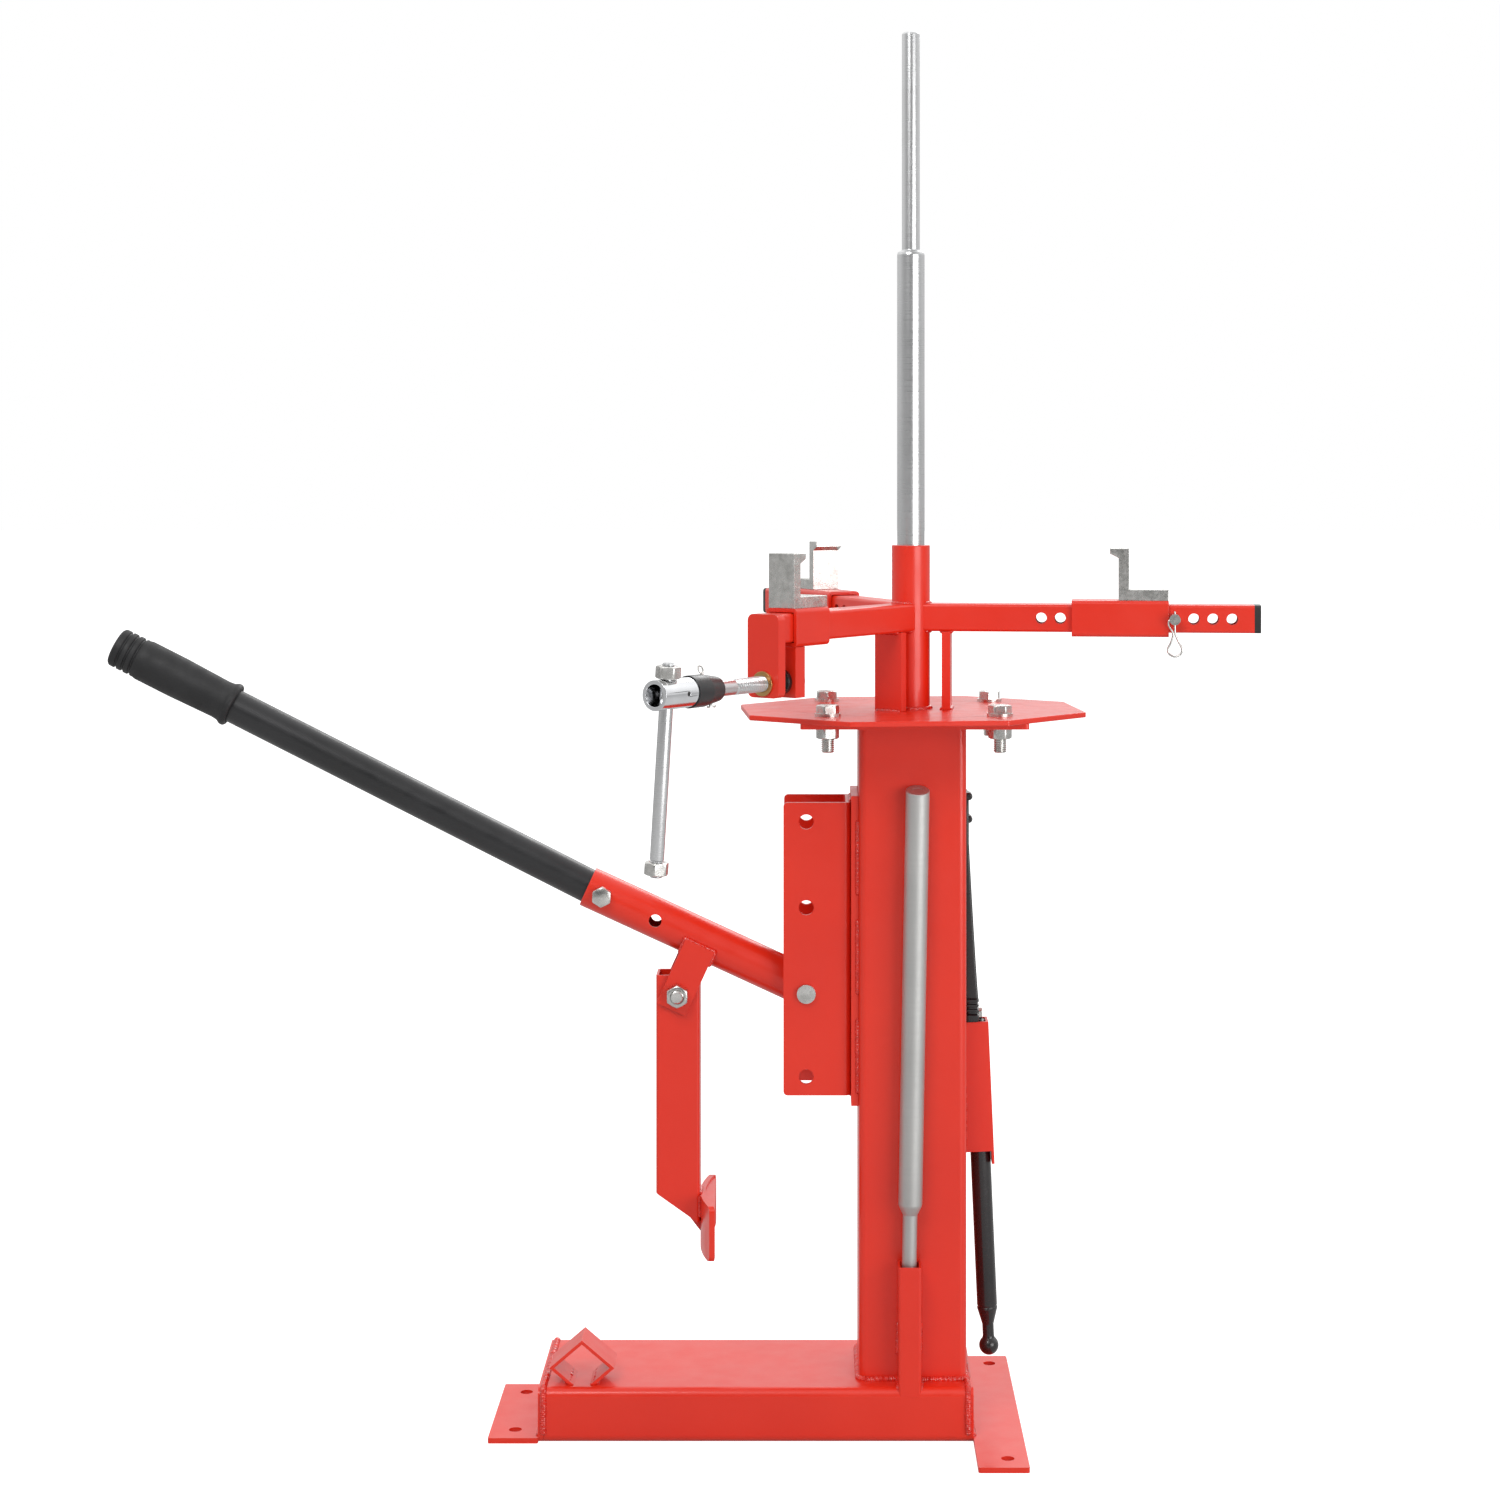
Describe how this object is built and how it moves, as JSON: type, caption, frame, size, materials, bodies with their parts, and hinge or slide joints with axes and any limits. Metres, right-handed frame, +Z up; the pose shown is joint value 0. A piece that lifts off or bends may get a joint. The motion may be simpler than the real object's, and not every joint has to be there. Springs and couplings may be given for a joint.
{
  "type": "bead breaker",
  "caption": "Floor-standing manual bead breaker: hinged lever with hanging shoe on a square column, screw rim clamp table, centre post and stored bars.",
  "frame": {"origin": "on the floor under the column's middle line, on the underside of the base tube", "axes": "+X to the right along the base, away from the lever; +Y away from the front; +Z up"},
  "size_m": [1.0847, 0.6207, 1.306],
  "materials": {
    "red_paint": "gloss",
    "black_paint": "satin",
    "black_steel": "gloss",
    "grip_rubber": "matt",
    "black_plastic": "matt",
    "zinc": "satin",
    "bright_steel": "brushed",
    "chrome": "polished",
    "bronze": "machined"
  },
  "bodies": {
    "stand": {"base_tube": "red_paint", "base_end_cap_left": "red_paint", "base_end_cap_right": "red_paint", "foot_plate_left": "red_paint", "foot_plate_right": "red_paint", "rim_rest": "red_paint", "column": "red_paint", "column_top_plate": "red_paint", "rod_holder": "red_paint", "tool_holder": "red_paint", "pivot_backing_plate": "red_paint", "pivot_bracket": "red_paint", "pivot_pin": "zinc", "pivot_pin_clip": "zinc", "table_plate": "red_paint", "table_bolts": "zinc", "table_washers": "zinc", "table_nuts": "zinc", "post_socket": "red_paint", "beam_risers": "red_paint", "right_beam": "red_paint", "rear_beam": "red_paint", "screw_beam": "red_paint", "beam_plugs": "black_plastic", "screw_bracket": "red_paint", "screw_nut": "bronze", "index_pins": "zinc", "index_pin_clips": "zinc"},
    "arm": {"arm_sleeve": "red_paint", "pivot_bush": "red_paint", "clevis_plates": "red_paint", "handle_tube": "black_paint", "handle_grip": "grip_rubber", "handle_bolt": "zinc", "handle_nut": "zinc", "leg_bolt": "zinc", "leg_nut": "zinc"},
    "leg": {"leg_tube": "red_paint", "breaker_shoe": "red_paint", "shoe_gusset": "red_paint", "shoe_stiffener": "red_paint"},
    "screw": {"clamp_screw": "bright_steel", "screw_hub": "chrome", "thrust_collar": "black_steel", "collar_split_pin": "zinc", "hub_roll_pin": "black_steel", "retaining_rings": "black_steel"},
    "tommy": {"tommy_bar": "bright_steel", "tommy_nuts": "zinc"},
    "screw_carriage": {"jaw_carriage": "red_paint", "screw_jaw": "zinc"},
    "right_slider": {"right_jaw_sleeve": "red_paint", "right_jaw": "zinc"},
    "rear_slider": {"rear_jaw_sleeve": "red_paint", "rear_jaw": "zinc"},
    "post": {"centre_post": "bright_steel"},
    "stored_rod": {"spare_rod": "bright_steel"},
    "mount_tool": {"mount_bar": "black_steel", "mount_head": "black_steel", "mount_head_screw": "zinc"}
  },
  "joints": [
    {"name": "arm_pivot", "type": "hinge", "parent": "stand", "child": "arm", "pos_m": [-0.0987, 0, 0.405], "axis": [0, 1, 0], "range_deg": [-20, 44]},
    {"name": "leg_pivot", "type": "hinge", "parent": "arm", "child": "leg", "pos_m": [-0.21918, 0, 0.40152], "axis": [0, 1, 0], "range_deg": [-12, 70]},
    {"name": "jaw_travel", "type": "slide", "parent": "stand", "child": "screw_carriage", "axis": [0.5878, 0.809, 0], "range_m": [-0.0091, 0.0601]},
    {"name": "screw_turn", "type": "hinge", "parent": "screw_carriage", "child": "screw", "pos_m": [-0.17634, -0.24271, 0.7065], "axis": [0.5878, 0.809, 0], "range_deg": [-1080, 7200]},
    {"name": "tommy_slide", "type": "slide", "parent": "screw", "child": "tommy", "axis": [0.0621, -0.0451, 0.9971], "range_m": [0, 0.1285]},
    {"name": "right_jaw_slide", "type": "slide", "parent": "stand", "child": "right_slider", "axis": [0.9945, -0.1045, 0], "range_m": [-0.098, 0]},
    {"name": "rear_jaw_slide", "type": "slide", "parent": "stand", "child": "rear_slider", "axis": [-0.4067, 0.9135, 0], "range_m": [-0.098, 0]},
    {"name": "post_lift", "type": "slide", "parent": "stand", "child": "post", "axis": [0, 0, 1], "range_m": [0, 0.06]},
    {"name": "spare_rod_lift", "type": "slide", "parent": "stand", "child": "stored_rod", "axis": [0.018, 0, 0.9998], "range_m": [0, 0.055]},
    {"name": "mount_bar_lift", "type": "slide", "parent": "stand", "child": "mount_tool", "axis": [-0.0436, 0, 0.999], "range_m": [0, 0.01]}
  ],
  "couplings": [
    {"joint": "jaw_travel", "follows": "screw_turn", "m_per_rad": 0.00047746}
  ]
}
